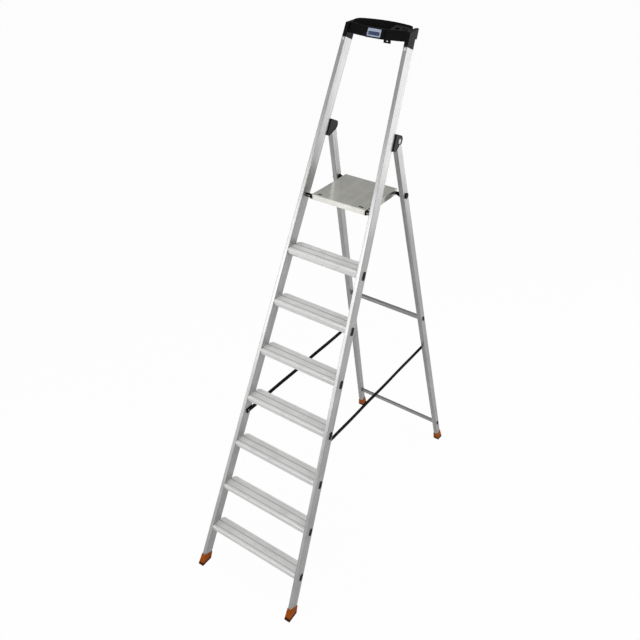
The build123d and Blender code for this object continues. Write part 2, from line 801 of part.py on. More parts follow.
def make_strap(side):
    front_face = strap_face(True)
    rear_face = strap_face(False)
    slope = (rear_face - front_face) / (strap_rear - strap_front)
    start = strap_front - strap_tail
    end = strap_rear + strap_tail
    start_face = front_face - slope * strap_tail
    end_face = rear_face + slope * strap_tail
    plan = Polygon(
        (start_face, floor_start + start), (end_face, floor_start + end),
        (end_face - strap_thickness, floor_start + end), (start_face - strap_thickness, floor_start + start),
        align=None,
    )
    band = Pos(0, 0, strap_height) * extrude(plan, amount=strap_width / 2, both=True)
    band = band if side > 0 else mirror(band, about=Plane.YZ)
    for back in (strap_front, strap_rear):
        band -= mirrored_rod(side, strap_hole_radius, 100, 300, back, strap_height)
    return band


# Tool tray

def tray_rivet_shank(side):
    place = Plane(
        origin=(side * rail_middle(tray_rivet_along), 0, tray_rivet_along), x_dir=(1, 0, 0), z_dir=(0, 1, 0)
    )
    return front_frame * (place * Cylinder(rivet_radius, 12, align=(Align.CENTER, Align.CENTER, Align.MIN)))


def make_tray_rivet(side):
    place = Plane(
        origin=(side * rail_middle(tray_rivet_along), 0, tray_rivet_along), x_dir=(1, 0, 0), z_dir=(0, -1, 0)
    )
    return tray_rivet_shank(side) + front_frame * (place * dome(rivet_head_radius, rivet_head_thickness))


def tray_plan(inset):
    """The tray's outline from above, with its bulged front and rear."""
    half = tray_half_width - inset
    front = floor_start + tray_front + inset
    rear = floor_start + tray_rear - inset
    bulge = ThreePointArc((-half, front), (0, front - tray_bow), (half, front))
    back = ThreePointArc((half, rear), (0, rear + tray_rear_bow), (-half, rear))
    ends = Line((half, front), (half, rear)) + Line((-half, rear), (-half, front))
    outline = make_face(bulge + back + ends)
    return fillet(outline.vertices().group_by(Axis.Y)[-1], tray_rear_corner - inset)


def leaning(outline, low, high):
    """A level outline of the tray's bottom, drawn up along the lean from one height to another."""
    shift = (low - tray_low) * front_sine / front_cosine
    up = (0, front_sine, front_cosine)
    return Pos(0, shift, low) * extrude(outline, amount=(high - low) / front_cosine, dir=up)


def rim_plane(drop):
    """Plane of the tray's sloping rim, or of a level that is lower by drop."""
    tilt = radians(tray_rim_tilt)
    back = floor_start + tray_rear + (tray_rim - tray_low) * front_sine / front_cosine
    return Plane(origin=(0, back, tray_rim - drop), x_dir=(1, 0, 0), z_dir=(0, -sin(tilt), cos(tilt)))


def above_rim(drop):
    return rim_plane(drop) * Box(4 * far, 8 * far, 400, align=(Align.CENTER, Align.CENTER, Align.MIN))


def make_cap(side):
    """End of the tray that stands on a rail, and the tongue that goes into the rail."""
    high = rail_top + 130
    cap = bar(rail_width, rail_depth, rail_corner, rail_top, high)
    deep = cap_back_to - cap_back_from
    middle = (cap_back_from + cap_back_to - rail_depth) / 2
    cap += Pos(0, middle, 0) * bar(rail_width, deep, cap_back_corner, cap_back_low, high)
    inset = 2 * (rail_wall + tongue_clearance)
    cap += bar(rail_width - inset, rail_depth - inset, rail_corner - rail_wall, tongue_low, rail_top + 1)
    cap = front_frame * (rail_plane(side) * cap)
    cap -= Pos(0, 0, cap_top) * Box(4 * far, 8 * far, 400, align=(Align.CENTER, Align.CENTER, Align.MIN))
    return fillet(cap.edges().group_by(Axis.Z)[-1], cap_edge) - tray_rivet_shank(side)


def make_tray_hook():
    """Slotted tab under the tray to hang a bucket or a bag on."""
    front = tray_front - tray_bow * (1 - (tray_hook_middle / tray_half_width) ** 2)
    tab = Box(
        tray_hook_width, tray_hook_thickness, tray_hook_drop + tray_wall / 2, align=(Align.CENTER, Align.MIN, Align.MIN)
    )
    slot = Pos(0, 0, tray_hook_drop * 0.6) * Rot(90, 0, 0) * extrude(SlotOverall(*tray_hook_slot), amount=far, both=True)
    return Pos(tray_hook_middle, floor_start + front, tray_low - tray_hook_drop) * (tab - slot)


def make_tray():
    high = tray_rim + 60
    body = leaning(tray_plan(0), tray_low, high)
    well = leaning(tray_plan(tray_wall), tray_low + tray_wall, high)
    pad = Pos(pad_middle, floor_start + pad_front) * Rectangle(
        2 * pad_half_width, pad_thickness, align=(Align.CENTER, Align.MIN)
    )
    tray = body + leaning(pad, tray_low, high) - well + make_tray_hook()
    right = Pos(shelf_from, 0, tray_low) * Box(far, 8 * far, 400, align=(Align.MIN, Align.CENTER, Align.MIN))
    beside = Pos(shelf_from + tray_wall, 0, tray_low) * Box(
        far, 8 * far, 400, align=(Align.MIN, Align.CENTER, Align.MIN)
    )
    room = (well & right) - above_rim(shelf_drop)
    under_shelf = (room & beside) - above_rim(shelf_drop + tray_wall)
    tray += room - under_shelf
    for place, back, radius in tool_holes:
        tray -= Pos(place, floor_start + back, tray_rim - shelf_drop) * Cylinder(radius, 8 * tray_wall)
    tray -= above_rim(0)
    rim = rim_plane(0)
    on_rim = [
        edge for edge in tray.edges() if all(abs(rim.to_local_coords(v.center()).Z) < 0.01 for v in edge.vertices())
    ]
    tray = fillet(on_rim, tray_edge)
    for side in sides.values():
        outward = Align.MIN if side > 0 else Align.MAX
        end = Box(far, 8 * far, 400, align=(outward, Align.CENTER, Align.MIN))
        tray -= Pos(side * (tray_half_width - tray_wall), 0, cap_top) * end
        tray += make_cap(side)
    return tray


def make_label():
    back = floor_start + pad_front + label_low * front_sine / front_cosine
    place = Plane(
        origin=(0, back, tray_low + label_low), x_dir=(1, 0, 0), z_dir=(0, -front_cosine, front_sine)
    )
    return place * Box(
        2 * label_half_width, label_height, label_thickness, align=(Align.CENTER, Align.MIN, Align.MIN)
    )


def build_all():
    os.makedirs("parts", exist_ok=True)
    inner_space = between_rails(-rail_width / 2)
    outer_space = between_rails(rail_width / 2)
    leg_inner_space = between_legs(-leg_width / 2)
    leg_outer_space = between_legs(leg_width / 2)
    treads = range(1, tread_count + 1)
    heights = crossbar_heights.values()
    for name, side in sides.items():
        save(make_rail(side), f"front_rail_{name}")
        save(make_front_foot(side), f"front_foot_{name}")
        save(make_bracket(side), f"hinge_bracket_{name}")
        save(make_leg(side), f"rear_leg_{name}")
        save(make_rear_foot(side), f"rear_foot_{name}")
        save(make_hook(side), f"platform_hook_{name}")
        save(make_strap(side), f"strap_{name}")
    for number in treads:
        save(make_tread(number, inner_space, outer_space), f"tread_{number}")
    for name, height in crossbar_heights.items():
        save(make_crossbar(height, leg_outer_space), f"rear_crossbar_{name}")
    save(make_tray(), "tool_tray")
    save(make_label(), "label_plate")
    save(make_deck(), "platform_deck")
    both = sides.values()
    save(group(make_tread_flare(n, side) for side in both for n in treads), "tread_flares")
    save(group(make_tread_plug(n, side) for side in both for n in treads), "tread_plugs")
    save(group(make_crossbar_flare(h, side) for side in both for h in heights), "crossbar_flares")
    save(group(make_crossbar_plug(h, side) for side in both for h in heights), "crossbar_plugs")
    save(group(make_tray_rivet(side) for side in both), "tray_rivets")
    save(group(bracket_rivet(side, p) for side in both for p in bracket_rivet_places), "bracket_rivets")
    save(group(make_hinge_pin(side) for side in both), "hinge_pins")
    save(group(make_hinge_bush(side) for side in both), "hinge_bushes")
    save(group(stud_shape(side) for side in both), "platform_studs")
    save(group(make_collar(side, inner_space) for side in both), "stud_collars")
    save(group(make_platform_bolt(side) for side in both), "platform_bolts")
    save(group(make_bolt_cap(side, leg_outer_space) for side in both), "platform_bolt_caps")
    save(group(make_spacer(side, leg_inner_space) for side in both), "platform_spacers")
    save(group(make_platform_bush(side) for side in both), "platform_bushes")
    save(group(make_hook_rivet(side, p) for side in both for p in hook_rivet_places), "hook_rivets")
    save(group(strap_rivet(side, True) for side in both), "strap_front_rivets")
    save(group(strap_rivet(side, False) for side in both), "strap_rear_rivets")


build_all()
print("hinge pin", 0, round(floor_start + hinge_back, 3), round(hinge_height, 3), "half", round(hinge_half, 3))
print("platform pivot", 0, round(floor_start + pivot_back, 3), round(pivot_height, 3))
print("fold", fold_angle, "platform fold", platform_fold, "ratio", round(fold_ratio, 5))
print("floor start", round(floor_start, 3), "hook exit", hook_exit())
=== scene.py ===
from math import cos, pi, radians, sin, tan

import bmesh
import bpy
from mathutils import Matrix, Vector


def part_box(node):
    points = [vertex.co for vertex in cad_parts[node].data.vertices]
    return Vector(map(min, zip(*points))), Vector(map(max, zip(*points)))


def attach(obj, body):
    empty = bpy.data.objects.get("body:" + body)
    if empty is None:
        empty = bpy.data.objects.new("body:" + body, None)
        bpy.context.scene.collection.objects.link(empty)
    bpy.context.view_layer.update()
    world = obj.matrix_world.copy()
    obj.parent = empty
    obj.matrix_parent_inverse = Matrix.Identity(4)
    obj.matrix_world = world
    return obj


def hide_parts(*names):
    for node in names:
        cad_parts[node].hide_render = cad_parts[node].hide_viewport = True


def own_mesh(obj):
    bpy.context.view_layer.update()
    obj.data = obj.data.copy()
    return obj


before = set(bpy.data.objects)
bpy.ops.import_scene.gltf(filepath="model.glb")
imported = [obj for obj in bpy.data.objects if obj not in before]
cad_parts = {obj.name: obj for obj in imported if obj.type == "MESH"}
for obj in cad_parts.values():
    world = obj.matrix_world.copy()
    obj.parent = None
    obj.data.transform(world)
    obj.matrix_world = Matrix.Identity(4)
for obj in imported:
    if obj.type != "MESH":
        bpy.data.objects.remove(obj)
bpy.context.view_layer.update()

scene = bpy.context.scene
print("ladder frame loaded,", len(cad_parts), "CAD nodes")


# Camera, fitted to the photograph
cameraSetup = {
    "sensor": 36.0,
    "lens": 40.72,
    "shift": (0.0109, 0.0398),
    "turn": (53.38, 0.0, 35.43),
    "place": (1.5364, -2.338755, 3.1261),
    "sight": 200.0,
}


def makeCamera(setup):
    lens = bpy.data.cameras.new("ladderCamera")
    lens.sensor_width = setup["sensor"]
    lens.lens = setup["lens"]
    lens.shift_x, lens.shift_y = setup["shift"]
    lens.clip_end = setup["sight"]
    camera = bpy.data.objects.new("ladderCamera", lens)
    camera.location = setup["place"]
    camera.rotation_euler = [radians(angle) for angle in setup["turn"]]
    scene.collection.objects.link(camera)
    scene.camera = camera


makeCamera(cameraSetup)
print("camera set")


# How the two frames stand, in degrees. A splay is the turn about Y that goes with the lean.
stance = {
    "frontLean": 23.0,
    "rearLean": 16.0,
    "frontSplay": 3.26,
    "rearSplay": 3.225,
}


# Shader maths: a wire holds one socket, and sums with it add the nodes
class Wire:
    def __init__(self, tree, socket=None):
        self.tree = tree
        self.socket = socket

    def node(self, kind, settings=None, sockets=None, out=0):
        made = self.tree.nodes.new(kind)
        for name, value in (settings or {}).items():
            setattr(made, name, value)
        for name, value in (sockets or {}).items():
            self.plug(made.inputs[name], value)
        return Wire(self.tree, made.outputs[out])

    def plug(self, socket, value):
        if isinstance(value, Wire):
            self.tree.links.new(value.socket, socket)
        elif socket.type == "RGBA":
            socket.default_value = (*value, 1.0)
        else:
            socket.default_value = value

    def other(self, out):
        # another output of the same node
        return Wire(self.tree, self.socket.node.outputs[out])

    def axes(self):
        x = self.node("ShaderNodeSeparateXYZ", {}, {"Vector": self}, out="X")
        return x, x.other("Y"), x.other("Z")

    def maths(self, operation, first, second):
        return self.node("ShaderNodeMath", {"operation": operation}, {0: first, 1: second})

    def __add__(self, other):
        return self.maths("ADD", self, other)

    def __radd__(self, other):
        return self.maths("ADD", other, self)

    def __sub__(self, other):
        return self.maths("SUBTRACT", self, other)

    def __rsub__(self, other):
        return self.maths("SUBTRACT", other, self)

    def __mul__(self, other):
        return self.maths("MULTIPLY", self, other)

    def __rmul__(self, other):
        return self.maths("MULTIPLY", other, self)

    def __abs__(self):
        return self.node("ShaderNodeMath", {"operation": "ABSOLUTE"}, {0: self})

    def between(self, low, high):
        # 0 below low, 1 above high, smooth in between
        return self.node(
            "ShaderNodeMapRange", {"interpolation_type": "SMOOTHSTEP"},
            {"Value": self, "From Min": low, "From Max": high},
        )

    def blend(self, factor, first, second):
        return self.node(
            "ShaderNodeMix", {"data_type": "RGBA"}, {0: factor, 6: first, 7: second}, out=2
        )

    def place(self, turn=(0, 0, 0), size=(1, 1, 1), middle=(0, 0, 0)):
        # Object coordinates seen from a turned frame, in lengths of size
        angles = [radians(angle) for angle in turn]
        where = self.node("ShaderNodeTexCoord", out="Object")
        return self.node(
            "ShaderNodeMapping", {"vector_type": "TEXTURE"},
            {"Vector": where, "Location": middle, "Rotation": angles, "Scale": size},
        )

    def noise(self, scale=1.0, detail=2.0, roughness=0.5, where=None):
        # the looks give scale, detail and roughness in this order
        return self.node(
            "ShaderNodeTexNoise", {},
            {"Vector": where or self.place(), "Scale": scale, "Detail": detail, "Roughness": roughness},
        )

    def bump(self, height, distance):
        return self.node("ShaderNodeBump", {}, {"Height": height, "Distance": distance})


def total(wires):
    return sum(wires[1:], wires[0])


def weigh(shares, *wires):
    return total([share * wire for share, wire in zip(shares, wires)])


def spread(limits, share):
    low, high = limits
    return low + (high - low) * share


shadeSpan = (0.36, 0.64)     # noise over which aluminium goes from its dark to its pale colour


def newFinish(name):
    finish = bpy.data.materials.new(name)
    finish.use_nodes = True
    shader = finish.node_tree.nodes["Principled BSDF"]
    return finish, Wire(finish.node_tree), shader


def feed(wire, shader, values):
    for name, value in values.items():
        wire.plug(shader.inputs[name], value)


# Aluminium sections: drawn lines along the length, and faint clouds where hands and shoes have been
aluminiumLook = {
    "rail": {"pale": (0.46, 0.465, 0.46), "dark": (0.33, 0.335, 0.33)},
    "leg": {"pale": (0.40, 0.405, 0.40), "dark": (0.28, 0.285, 0.28)},
    "crossbar": {"pale": (0.44, 0.445, 0.44), "dark": (0.33, 0.335, 0.33)},
    "flare": {"pale": (0.66, 0.665, 0.655), "dark": (0.55, 0.555, 0.545)},
    "metallic": 0.6,
    "roughness": (0.27, 0.37),
    "line": (0.0042, 0.55),     # width and length
    "hair": (0.0006, 0.14),
    "hairDepth": 0.000008,
    "clouds": (1 / 0.11, 4.0, 0.55),
    "shadeShares": (0.55, 0.15, 0.3),     # lines, hairs, clouds
    "roughShares": (0.5, 0.5),     # hairs, clouds
    "bumpShares": (0.6, 0.4),     # hairs, lines
    "paintedTopShade": (0.07, 0.07, 0.068),     # painted shade on the upper faces of the crossbars
    "topShadeBand": (0.0035, 0.0012, 0.01),     # depth, soft edge, reach above
    "topShadeCover": (0.7, 1.0),
}


def makeAluminium(name, look, section, turn, along, shadedTops=()):
    finish, wire, shader = newFinish(name)

    def streaks(width, length):
        size = [width, width, width]
        size["xyz".index(along)] = length
        return wire.noise(where=wire.place(turn, size))

    lines = streaks(*look["line"])
    hairs = streaks(*look["hair"])
    clouds = wire.noise(*look["clouds"])
    shade = weigh(look["shadeShares"], lines, hairs, clouds).between(*shadeSpan)
    skin = wire.blend(shade, look[section]["dark"], look[section]["pale"])
    # painted shade: a dark band along the top faces of the crossbars, patchy with the clouds
    if shadedTops:
        height = wire.place().axes()[2]
        depth, soft, reach = look["topShadeBand"]
        bands = [
            height.between(top - depth - soft, top - depth) * (1.0 - height.between(top, top + reach))
            for top in shadedTops
        ]
        skin = wire.blend(total(bands) * spread(look["topShadeCover"], clouds), skin, look["paintedTopShade"])
    feed(wire, shader, {
        "Base Color": skin,
        "Metallic": look["metallic"],
        "Roughness": spread(look["roughness"], weigh(look["roughShares"], hairs, clouds)),
        "Normal": wire.bump(weigh(look["bumpShares"], hairs, lines), look["hairDepth"]),
    })
    return finish


# Treads: paler than the rails, painted shade in the two deep grooves and a nose polished by shoes
treadLook = {
    "pale": (0.84, 0.845, 0.835),
    "dark": (0.74, 0.745, 0.735),
    "grooveShade": (0.46, 0.46, 0.45),
    "polish": (0.80, 0.80, 0.79),
    "metallic": 0.3,
    "roughness": (0.25, 0.40),
    "firstTop": 0.224,
    "pitch": 0.225,
    "drop": 0.1,     # more than a tread reaches below its top
    "noseStart": -0.785255,     # nose line carried down to the floor
    "grooves": (0.018, 0.051),     # from the nose
    "grooveEdge": (0.00168, 0.00408),     # from the middle of a groove
    "topEdge": (-0.004, -0.002),
    "noseEdge": (0.0032, 0.008),
    "grooveShadeCover": (0.55, 1.0),
    "polishCover": (0.4, 1.0),
    "grooveShadeDulls": 0.25,
    "polishShines": 0.06,
    "clouds": (16.0, 5.0, 0.6),
    "drawSize": (0.42, 0.0024, 0.0024),
    "drawDepth": 0.00002,
    "shadeShares": (0.5, 0.5),     # lines, clouds
    "roughShares": (0.4, 0.6),
}


def makeTreadFinish(name, look):
    finish, wire, shader = newFinish(name)
    _, back, height = wire.place().axes()
    raised = height + (look["drop"] - look["firstTop"])
    level = wire.maths("FLOORED_MODULO", raised, look["pitch"]) - look["drop"]     # from the tread's top
    slope = tan(radians(stance["frontLean"]))
    depth = back - slope * (height - level) - look["noseStart"]     # from the tread's nose
    first, second = look["grooves"]
    nearest = wire.maths("MINIMUM", abs(depth - first), abs(depth - second))
    clouds = wire.noise(*look["clouds"])
    lines = wire.noise(where=wire.place(size=look["drawSize"]))
    inGroove = level.between(*look["topEdge"]) * (1.0 - nearest.between(*look["grooveEdge"]))
    # painted shade: the two grooves are darkened in colour and made rougher, patchy with the clouds
    grooveShade = inGroove * spread(look["grooveShadeCover"], clouds)
    polished = (1.0 - depth.between(*look["noseEdge"])) * spread(look["polishCover"], clouds)
    shade = weigh(look["shadeShares"], lines, clouds).between(*shadeSpan)
    skin = wire.blend(shade, look["dark"], look["pale"])
    banded = wire.blend(polished, skin, look["polish"])
    rough = spread(look["roughness"], weigh(look["roughShares"], lines, clouds))
    feed(wire, shader, {
        "Base Color": wire.blend(grooveShade, banded, look["grooveShade"]),
        "Metallic": look["metallic"],
        "Roughness": rough + look["grooveShadeDulls"] * grooveShade - look["polishShines"] * polished,
        "Normal": wire.bump(lines, look["drawDepth"]),
    })
    return finish


# Platform sheet: warmer and smoother than the sections, brushed from front to rear
deckLook = {
    "pale": (0.653, 0.647, 0.605),
    "dark": (0.535, 0.531, 0.494),
    "metallic": 0.58,
    "roughness": (0.10, 0.18),
    "brushSize": (0.0012, 0.22, 0.0012),
    "brushDetail": 3.0,
    "brushDepth": 0.00003,
    "bandSize": (0.03, 0.5, 0.03),
    "clouds": (14.0, 4.0),
    "shadeShares": (0.35, 0.35, 0.3),     # brush, bands, clouds
    "roughShares": (0.5, 0.5),     # brush, clouds
}


def makeDeckFinish(name, look):
    finish, wire, shader = newFinish(name)
    brush = wire.noise(detail=look["brushDetail"], where=wire.place(size=look["brushSize"]))
    bands = wire.noise(where=wire.place(size=look["bandSize"]))
    clouds = wire.noise(*look["clouds"])
    shade = weigh(look["shadeShares"], brush, bands, clouds).between(*shadeSpan)
    feed(wire, shader, {
        "Base Color": wire.blend(shade, look["dark"], look["pale"]),
        "Metallic": look["metallic"],
        "Roughness": spread(look["roughness"], weigh(look["roughShares"], brush, clouds)),
        "Normal": wire.bump(brush, look["brushDepth"]),
    })
    return finish


# Moulded plastic: fine spark-eroded grain, with soft scuffs
plasticLook = {
    "black": {
        "colour": (0.003, 0.003, 0.0035), "scuff": (0.010, 0.010, 0.011),
        "roughness": (0.40, 0.56), "gloss": 0.07,
    },
    "bracket": {
        "colour": (0.016, 0.0165, 0.018), "scuff": (0.027, 0.027, 0.029),
        "roughness": (0.42, 0.56), "gloss": 0.1,
    },
    "bush": {
        "colour": (0.42, 0.42, 0.39), "scuff": (0.33, 0.33, 0.31),
        "roughness": (0.40, 0.52), "gloss": 0.4,
    },
    "grain": (1 / 0.0009, 2.0),
    "grainDepth": 0.00006,
    "clouds": (26.0, 4.0, 0.6),
    "scuffSpan": (0.52, 0.74),
}


def makePlastic(name, looks, sort):
    look = looks[sort]
    finish, wire, shader = newFinish(name)
    grain = wire.noise(*looks["grain"])
    clouds = wire.noise(*looks["clouds"])
    feed(wire, shader, {
        "Base Color": wire.blend(clouds.between(*looks["scuffSpan"]), look["colour"], look["scuff"]),
        "Roughness": spread(look["roughness"], clouds),
        "Specular IOR Level": look["gloss"],
        "Normal": wire.bump(grain, looks["grainDepth"]),
    })
    return finish


# Feet: orange rubber-like plastic, darker in a band at the bottom where the sole meets the floor
footLook = {
    "colour": (0.44, 0.095, 0.003),
    "faded": (0.34, 0.075, 0.004),
    "sole": (0.055, 0.014, 0.003),
    "soleTop": (0.010, 0.020),
    "soleWaver": 0.006,
    "roughness": (0.40, 0.60),
    "gloss": 0.06,
    "grain": (1 / 0.0011, 2.0),
    "grainDepth": 0.00008,
    "clouds": (45.0, 4.0, 0.6),
    "fadeSpan": (0.4, 0.7),
}


def makeFootFinish(name, look):
    finish, wire, shader = newFinish(name)
    grain = wire.noise(*look["grain"])
    clouds = wire.noise(*look["clouds"])
    height = wire.place().axes()[2]
    # darker towards the floor: a dark band at the base of each foot, with a wavy top edge
    banded = 1.0 - (height + look["soleWaver"] * (clouds - 0.5)).between(*look["soleTop"])
    skin = wire.blend(clouds.between(*look["fadeSpan"]), look["colour"], look["faded"])
    feed(wire, shader, {
        "Base Color": wire.blend(banded, skin, look["sole"]),
        "Roughness": spread(look["roughness"], clouds),
        "Specular IOR Level": look["gloss"],
        "Normal": wire.bump(grain, look["grainDepth"]),
    })
    return finish


# Zinc-plated steel: bright rivets and bolts, and duller hinge pins, studs and strap rivets
steelLook = {
    "rivet": {
        "pale": (0.88, 0.88, 0.87), "dark": (0.74, 0.74, 0.73),
        "metallic": 0.55, "roughness": (0.26, 0.40),
    },
    "pin": {
        "pale": (0.44, 0.44, 0.43), "dark": (0.30, 0.30, 0.29),
        "metallic": 0.8, "roughness": (0.46, 0.64),
    },
    "specks": (420.0, 3.0, 0.6),
    "speckDepth": 0.00002,
    "clouds": (70.0, 3.0),
    "shadeShares": (0.5, 0.5),     # specks, clouds
    "shadeSpan": (0.35, 0.62),
}


def makeSteel(name, looks, sort):
    look = looks[sort]
    finish, wire, shader = newFinish(name)
    specks = wire.noise(*looks["specks"])
    clouds = wire.noise(*looks["clouds"])
    shade = weigh(looks["shadeShares"], specks, clouds).between(*looks["shadeSpan"])
    feed(wire, shader, {
        "Base Color": wire.blend(shade, look["dark"], look["pale"]),
        "Metallic": look["metallic"],
        "Roughness": spread(look["roughness"], clouds),
        "Normal": wire.bump(specks, looks["speckDepth"]),
    })
    return finish


# Label: a plain two-tone plate
labelLook = {
    "border": (0.42, 0.48, 0.62),
    "field": (0.006, 0.018, 0.070),
    "halfWidth": 0.0262,
    "fieldLow": -0.0105,
    "fieldHigh": 0.0035,
    "soft": 0.0012,
    "fieldCover": (0.8, 1.0),
    "clouds": (160.0, 3.0),
    "roughness": (0.32, 0.44),
    "coat": 0.1,
    "gloss": 0.25,
}


def makeLabelFinish(name, look):
    finish, wire, shader = newFinish(name)
    low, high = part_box("label_plate")
    sideways, _, upward = wire.place((-stance["frontLean"], 0, 0), middle=(low + high) / 2).axes()
    soft = look["soft"]
    inside = 1.0 - abs(sideways).between(look["halfWidth"] - soft, look["halfWidth"])
    above = upward.between(look["fieldLow"], look["fieldLow"] + soft)
    below = 1.0 - upward.between(look["fieldHigh"], look["fieldHigh"] + soft)
    clouds = wire.noise(*look["clouds"])
    field = inside * above * below * spread(look["fieldCover"], clouds)
    feed(wire, shader, {
        "Base Color": wire.blend(field, look["border"], look["field"]),
        "Roughness": spread(look["roughness"], clouds),
        "Coat Weight": look["coat"],
        "Specular IOR Level": look["gloss"],
    })
    return finish


noTurn = (0.0, 0.0, 0.0)
crossbarTops = [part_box(f"rear_crossbar_{place}")[1].z for place in ("upper", "lower")]
finishes = {
    "crossbar": makeAluminium(
        "crossbarAluminium", aluminiumLook, "crossbar", noTurn, "x", crossbarTops
    ),
    "flare": makeAluminium("flareAluminium", aluminiumLook, "flare", noTurn, "x"),
    "tread": makeTreadFinish("treadAluminium", treadLook),
    "deck": makeDeckFinish("deckAluminium", deckLook),
    "black": makePlastic("blackPlastic", plasticLook, "black"),
    "bracket": makePlastic("bracketPlastic", plasticLook, "bracket"),
    "bush": makePlastic("bushPlastic", plasticLook, "bush"),
    "foot": makeFootFinish("orangeFootPlastic", footLook),
    "rivet": makeSteel("rivetSteel", steelLook, "rivet"),
    "pin": makeSteel("pinSteel", steelLook, "pin"),
    "label": makeLabelFinish("plainLabel", labelLook),
}
for word, side in (("left", 1), ("right", -1)):
    railTurn = (-stance["frontLean"], side * stance["frontSplay"], 0.0)
    legTurn = (stance["rearLean"], side * stance["rearSplay"], 0.0)
    finishes[f"{word}Rail"] = makeAluminium(f"{word}RailAluminium", aluminiumLook, "rail", railTurn, "z")
    finishes[f"{word}Leg"] = makeAluminium(f"{word}LegAluminium", aluminiumLook, "leg", legTurn, "z")

nodeFinish = {
    "leftRail": ["front_rail_left"],
    "rightRail": ["front_rail_right"],
    "leftLeg": ["rear_leg_left"],
    "rightLeg": ["rear_leg_right"],
    "crossbar": ["rear_crossbar_upper", "rear_crossbar_lower"],
    "flare": ["tread_flares", "crossbar_flares"],
    "tread": [f"tread_{number}" for number in range(1, 8)],
    "deck": ["platform_deck"],
    "black": [
        "tool_tray", "tread_plugs", "crossbar_plugs", "stud_collars", "platform_hook_left",
        "platform_hook_right", "platform_bolt_caps", "platform_spacers",
    ],
    "bracket": ["hinge_bracket_left", "hinge_bracket_right"],
    "bush": ["hinge_bushes", "platform_bushes"],
    "foot": ["front_foot_left", "front_foot_right", "rear_foot_left", "rear_foot_right"],
    "rivet": ["tray_rivets", "bracket_rivets", "platform_bolts", "hook_rivets"],
    "pin": ["hinge_pins", "platform_studs", "strap_front_rivets", "strap_rear_rivets"],
    "label": ["label_plate"],
}

for finishName, nodeNames in nodeFinish.items():
    for nodeName in nodeNames:
        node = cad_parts[nodeName]
        if not node.material_slots:
            node.data.materials.append(finishes[finishName])
        for slot in node.material_slots:
            slot.material = finishes[finishName]
print("finishes on", sum(len(names) for names in nodeFinish.values()), "nodes")


def meshPiece(name, bm, finish):
    mesh = bpy.data.meshes.new(name)
    bm.to_mesh(mesh)
    bm.free()
    mesh.materials.append(finish)
    piece = bpy.data.objects.new(name, mesh)
    scene.collection.objects.link(piece)
    return piece


# Strap webbing: a flat weave of ribs across the band, on the band's own map
webbingLook = {
    "thread": (0.0035, 0.0035, 0.004),
    "gap": (0.0015, 0.0015, 0.0015),
    "ribPitch": 0.0021,
    "threadPitch": 0.0016,
    "crossing": 0.32,
    "ribbing": 0.18,
    "weaveSpan": (0.15, 0.75),
    "fuzz": (900.0, 2.0),
    "fuzzShare": 0.25,
    "roughness": (0.72, 0.9),
    "gloss": 0.08,
    "depth": 0.00025,
}


def makeWebbing(name, look, length, width):
    finish, wire, shader = newFinish(name)
    along, across, _ = wire.node("ShaderNodeTexCoord", out="UV").axes()

    def wave(value, size, pitch):
        return wire.node("ShaderNodeMath", {"operation": "SINE"}, {0: value * (2 * pi * size / pitch)})

    ribs = wave(along, length, look["ribPitch"])
    threads = wave(across, width, look["threadPitch"])
    fuzz = wire.noise(*look["fuzz"])
    weave = 0.5 + look["crossing"] * ribs * threads + look["ribbing"] * ribs
    feed(wire, shader, {
        "Base Color": wire.blend(weave.between(*look["weaveSpan"]), look["gap"], look["thread"]),
        "Roughness": spread(look["roughness"], fuzz),
        "Specular IOR Level": look["gloss"],
        "Normal": wire.bump(weave + look["fuzzShare"] * fuzz, look["depth"]),
    })
    return finish


# Straps between the frames.
strapPlan = {
    "front": (0.21873, -0.405555, 0.815),     # rivets, on the right-hand side
    "rear": (0.21458, 0.53325, 0.815),
    "tail": 0.012,
    "width": 0.025,
    "thickness": 0.002,
    "steps": 150,
    "rows": 4,
    "sag": 0.001,
    "ripple": 0.0008,
    "rippleTurns": 19.0,     # radians over the whole band
    "inset": 0.0003,     # from the rivets' line
    "weld": 0.00001,
    "hinge": (0.179173, 2.042827),     # y and z
}
frontRivet = Vector(strapPlan["front"])
rearRivet = Vector(strapPlan["rear"])
span = rearRivet - frontRivet
bandLength = span.length + 2 * strapPlan["tail"]


def makeStrap(name, side, plan, finish):
    run = span.normalized()
    start = frontRivet - run * plan["tail"]
    bm = bmesh.new()
    bm.loops.layers.uv.new("band")
    bmesh.ops.create_grid(
        bm, x_segments=plan["steps"], y_segments=plan["rows"], size=0.5, calc_uvs=True
    )
    for vert in bm.verts:
        share = vert.co.x + 0.5
        across = vert.co.y * plan["width"]
        droop = plan["sag"] * 4 * share * (1 - share)
        ripple = plan["ripple"] * sin(share * plan["rippleTurns"]) * sin(share * pi)
        aside = Vector((-ripple - plan["inset"], 0, across - droop))
        vert.co = start + run * (share * bandLength) + aside
    bmesh.ops.recalc_face_normals(bm, faces=bm.faces[:])
    bmesh.ops.solidify(bm, geom=bm.faces[:], thickness=plan["thickness"])
    if side < 0:
        bmesh.ops.scale(bm, vec=(-1, 1, 1), verts=bm.verts[:])
    bmesh.ops.remove_doubles(bm, verts=bm.verts[:], dist=plan["weld"])
    bmesh.ops.recalc_face_normals(bm, faces=bm.faces[:])
    strap = meshPiece(name, bm, finish)
    for face in strap.data.polygons:
        face.use_smooth = True
    return strap


webbing = makeWebbing("blackWebbing", webbingLook, bandLength, strapPlan["width"])
for side, word in ((-1, "left"), (1, "right")):
    strap = makeStrap(f"webbing_strap_{word}", side, strapPlan, webbing)
    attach(strap, "front_frame")
    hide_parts(f"strap_{word}")
    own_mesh(strap)
print("straps made, each", round(bandLength, 3), "m of webbing")


# Trees of the floor and the world
def bareTree(owner):
    owner.use_nodes = True
    owner.node_tree.nodes.clear()
    return Wire(owner.node_tree)


def endTree(wire, kind, shader):
    output = wire.tree.nodes.new(kind)
    wire.plug(output.inputs["Surface"], shader)


def mixShaders(share, first, second):
    return first.node("ShaderNodeMixShader", {}, {0: share, 1: first, 2: second})


